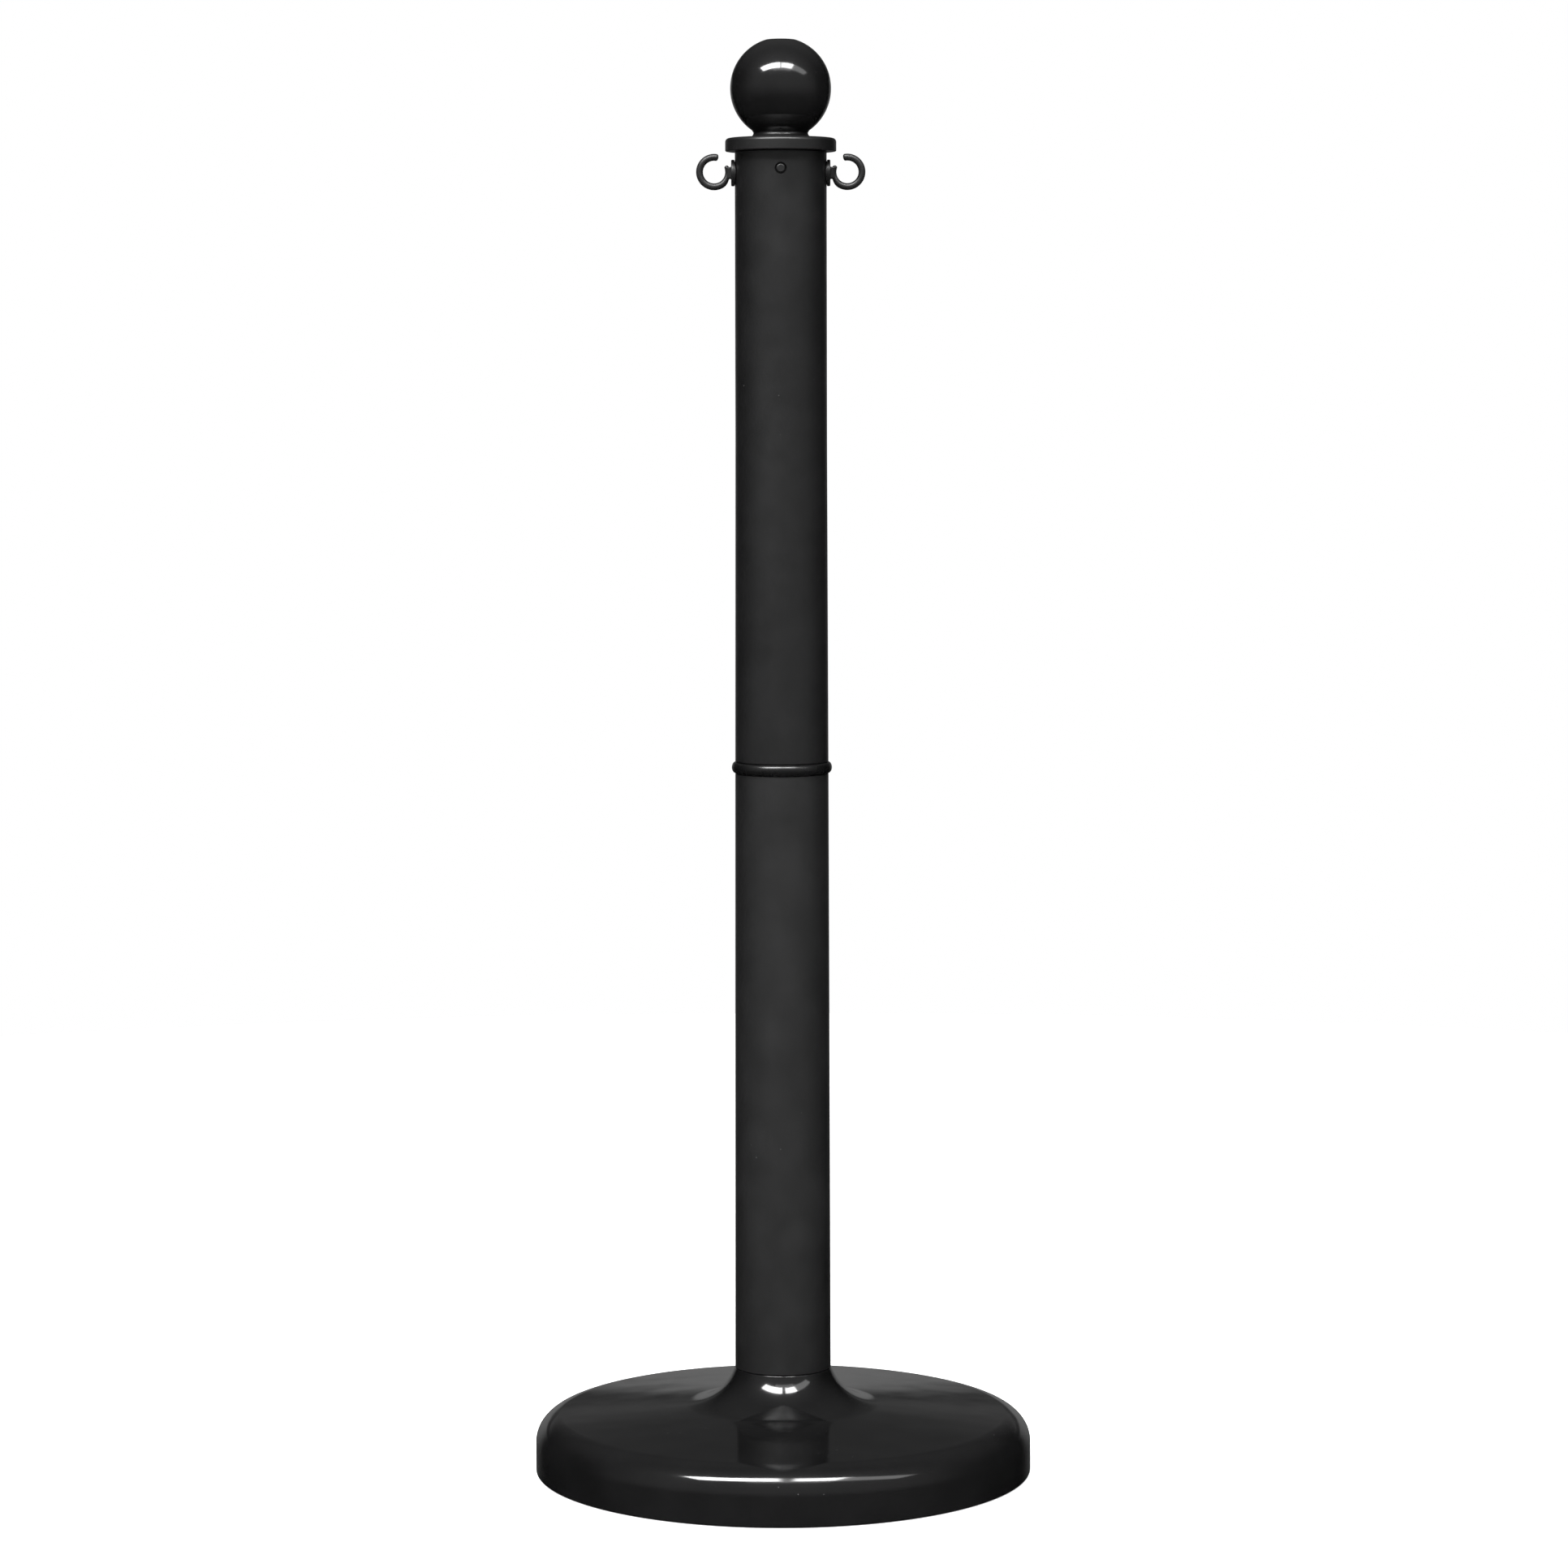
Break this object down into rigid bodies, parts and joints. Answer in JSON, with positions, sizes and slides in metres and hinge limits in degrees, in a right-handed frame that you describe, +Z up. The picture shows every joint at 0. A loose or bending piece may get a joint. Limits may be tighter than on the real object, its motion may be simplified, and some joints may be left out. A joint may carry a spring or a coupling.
{
  "type": "post stanchion",
  "caption": "Free-standing moulded barrier post with a ball top, two open side hooks for a rope or chain, a bead ring at mid-height and a wide round ballast base.",
  "frame": {"origin": "middle of the base's underside, on the floor", "axes": "+Z up along the post; +X towards the right-hand hook; -Y towards the front snap button"},
  "size_m": [0.3556, 0.3556, 1.0191],
  "materials": {
    "base_gloss": "high-gloss black moulded plastic",
    "inner_plastic": "plain black moulded plastic, lightly ribbed",
    "stopper_plastic": "soft dark grey push-in plastic",
    "post_satin": "satin black with a fine moulded grain",
    "ring_satin": "satin black, smooth",
    "hook_satin": "satin black, slightly waxy",
    "cap_gloss": "gloss black ball with a satin flange"
  },
  "bodies": {
    "base": {"base_shell": "base_gloss", "base_pan": "inner_plastic"},
    "stopper": {"fill_stopper": "stopper_plastic"},
    "lower_post": {"lower_tube": "post_satin"},
    "joiner": {"coupler": "ring_satin"},
    "upper_post": {"upper_tube": "post_satin", "hook_right": "hook_satin", "hook_left": "hook_satin", "ball_top": "cap_gloss"},
    "front_tongue": {"snap_tongue_front": "cap_gloss"},
    "back_tongue": {"snap_tongue_back": "cap_gloss"}
  },
  "joints": [
    {"name": "base_to_post", "type": "slide", "parent": "base", "child": "lower_post", "axis": [0, 0, 1], "range_m": [0, 0.09]},
    {"name": "stopper_lift", "type": "slide", "parent": "base", "child": "stopper", "axis": [0, 0, 1], "range_m": [0, 0.05]},
    {"name": "post_swivel", "type": "hinge", "parent": "lower_post", "child": "joiner", "pos_m": [0, 0, 0.5067], "axis": [0, 0, 1], "continuous": true},
    {"name": "coupler_to_upper_post", "type": "slide", "parent": "joiner", "child": "upper_post", "axis": [0, 0, 1], "range_m": [0, 0.075]},
    {"name": "tongue_front_flex", "type": "hinge", "parent": "upper_post", "child": "front_tongue", "pos_m": [0, -0.0283, 0.9375], "axis": [1, 0, 0], "range_deg": [0, 14], "stiffness_Nm_per_rad": 0.12},
    {"name": "tongue_back_flex", "type": "hinge", "parent": "upper_post", "child": "back_tongue", "pos_m": [0, 0.0283, 0.9375], "axis": [-1, 0, 0], "range_deg": [0, 14], "stiffness_Nm_per_rad": 0.12}
  ]
}
